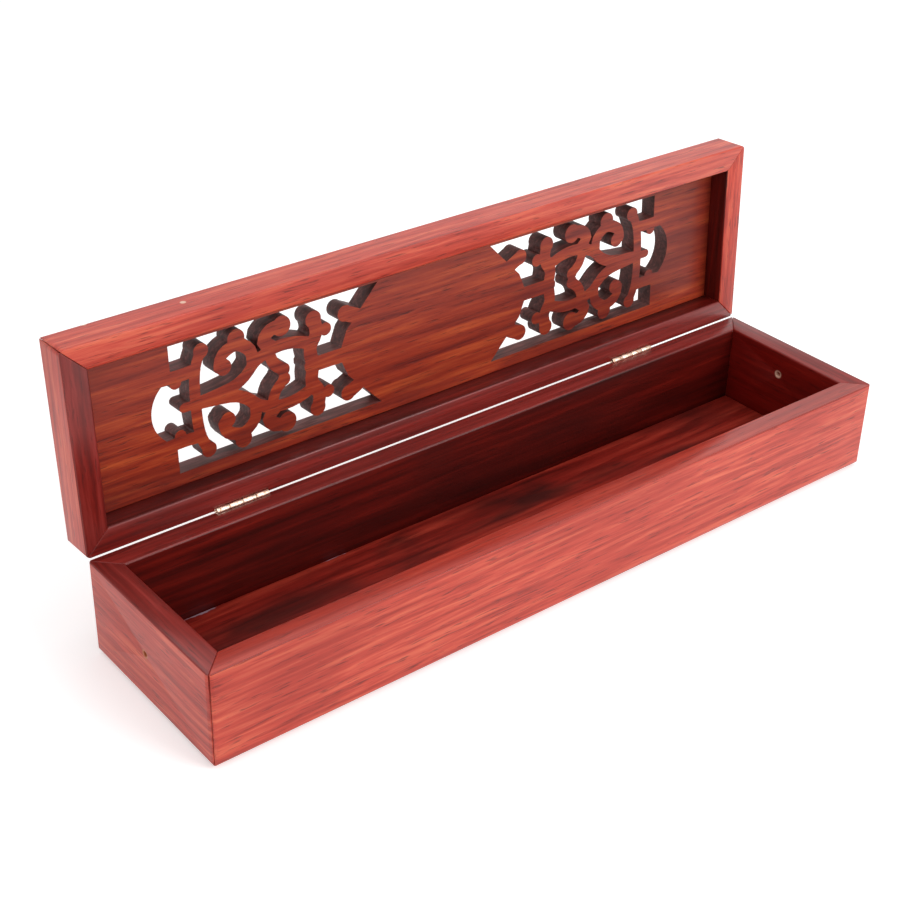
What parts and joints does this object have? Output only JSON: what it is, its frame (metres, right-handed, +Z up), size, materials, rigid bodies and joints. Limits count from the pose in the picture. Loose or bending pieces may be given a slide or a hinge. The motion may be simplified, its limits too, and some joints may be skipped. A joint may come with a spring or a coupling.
{
  "type": "wooden incense box",
  "caption": "Long hinged hardwood box for incense sticks, with openwork scroll windows in its lid, shown standing open.",
  "frame": {"origin": "middle of the underside of the base", "axes": "+X along the box to its right end seen from the front, +Y from the front to the hinges, +Z up"},
  "size_m": [0.235, 0.073, 0.0865],
  "materials": {
    "rosewood_sides": "satin varnish",
    "rosewood_bottom": "satin varnish",
    "rosewood_fretwork": "satin varnish",
    "hinge_brass": "satin",
    "hinge_nails_and_pins": "satin"
  },
  "bodies": {
    "base": {"base_front_wall": "rosewood_sides", "base_back_wall": "rosewood_sides", "base_left_end": "rosewood_sides", "base_right_end": "rosewood_sides", "base_bottom_board": "rosewood_bottom", "left_hinge_base_leaf": "hinge_brass", "left_hinge_base_nail_1": "hinge_nails_and_pins", "left_hinge_base_nail_2": "hinge_nails_and_pins", "right_hinge_base_leaf": "hinge_brass", "right_hinge_base_nail_1": "hinge_nails_and_pins", "right_hinge_base_nail_2": "hinge_nails_and_pins", "left_hinge_pin": "hinge_nails_and_pins", "right_hinge_pin": "hinge_nails_and_pins"},
    "lid": {"lid_front_rail": "rosewood_sides", "lid_back_rail": "rosewood_sides", "lid_left_rail": "rosewood_sides", "lid_right_rail": "rosewood_sides", "lid_fretwork_panel": "rosewood_fretwork", "left_hinge_lid_leaf": "hinge_brass", "left_hinge_lid_nail_1": "hinge_nails_and_pins", "left_hinge_lid_nail_2": "hinge_nails_and_pins", "right_hinge_lid_leaf": "hinge_brass", "right_hinge_lid_nail_1": "hinge_nails_and_pins", "right_hinge_lid_nail_2": "hinge_nails_and_pins"}
  },
  "joints": [
    {"name": "lid_hinge", "type": "hinge", "parent": "base", "child": "lid", "pos_m": [0, 0.029, 0.0286], "axis": [-1, 0, 0], "range_deg": [-93, 0]}
  ]
}
